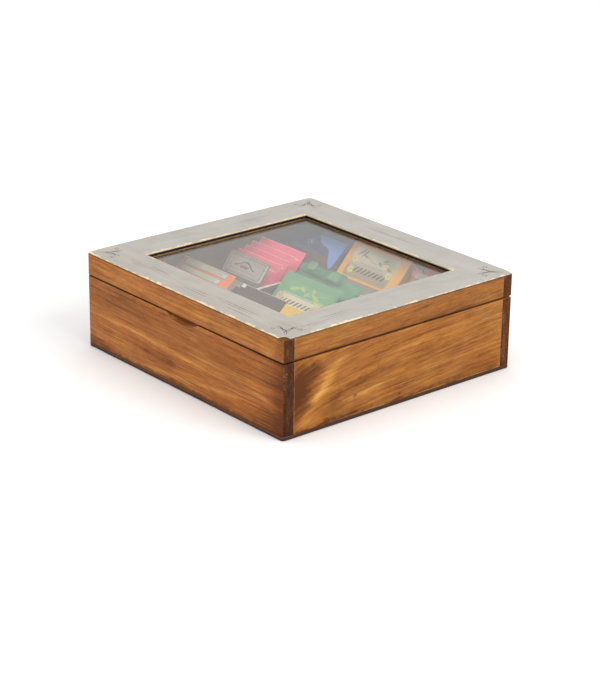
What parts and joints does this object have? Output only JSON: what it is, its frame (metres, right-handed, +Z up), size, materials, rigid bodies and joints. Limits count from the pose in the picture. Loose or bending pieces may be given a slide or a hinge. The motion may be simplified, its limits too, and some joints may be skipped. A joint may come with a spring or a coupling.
{
  "type": "tea bag organizer box",
  "caption": "Square wooden box with divider cells for upright tea sachets, under a hinged lid with a glazed window and a thumb notch.",
  "frame": {"origin": "centre of the underside of the bottom panel", "axes": "+X to the right along the front, front face with the thumb notch towards -Y, hinges towards +Y, +Z up"},
  "size_m": [0.24, 0.228, 0.078],
  "materials": {
    "case_wood": "satin",
    "lid_wood": "satin",
    "dark_wood": "matte",
    "divider_wood": "matte",
    "washed_sheet": "satin",
    "window_glass": "gloss",
    "hinge_brass": "satin",
    "pin_steel": "satin",
    "sachet_stripe": "satin",
    "sachet_black": "satin",
    "sachet_yellow": "satin",
    "sachet_pink": "satin",
    "sachet_olive": "satin",
    "sachet_green": "satin",
    "sachet_pale": "satin",
    "sachet_navy": "satin",
    "sachet_orange": "satin",
    "sachet_red": "satin"
  },
  "bodies": {
    "case": {"front_board": "case_wood", "back_board": "case_wood", "left_side_board": "case_wood", "right_side_board": "case_wood", "base_panel": "dark_wood", "base_brads": "pin_steel", "divider_across_front": "divider_wood", "divider_across_back": "divider_wood", "divider_left": "divider_wood", "divider_right": "divider_wood", "hinge_left_case_leaf": "hinge_brass", "hinge_right_case_leaf": "hinge_brass", "hinge_left_pin": "pin_steel", "hinge_right_pin": "pin_steel", "hinge_case_screws": "hinge_brass", "sachets_front_left": "sachet_stripe", "sachets_front_middle": "sachet_black", "sachets_front_right": "sachet_yellow", "sachets_middle_left": "sachet_pink", "sachet_middle_left_fore": "sachet_olive", "sachets_middle_middle": "sachet_green", "sachets_middle_right": "sachet_pale", "sachets_back_left": "sachet_navy", "sachets_back_middle": "sachet_orange", "sachets_back_right": "sachet_red"},
    "lid": {"lid_front_rail": "lid_wood", "lid_back_rail": "lid_wood", "lid_left_rail": "lid_wood", "lid_right_rail": "lid_wood", "lid_ply_panel": "dark_wood", "lid_face_sheet": "washed_sheet", "window_glass": "window_glass", "glazing_strip_front": "dark_wood", "glazing_strip_back": "dark_wood", "glazing_strip_left": "dark_wood", "glazing_strip_right": "dark_wood", "hinge_left_lid_leaf": "hinge_brass", "hinge_right_lid_leaf": "hinge_brass", "hinge_lid_screws": "hinge_brass"}
  },
  "joints": [
    {"name": "lid_hinge", "type": "hinge", "parent": "case", "child": "lid", "pos_m": [0, 0.1121, 0.059], "axis": [-1, 0, 0], "range_deg": [0, 100]}
  ]
}
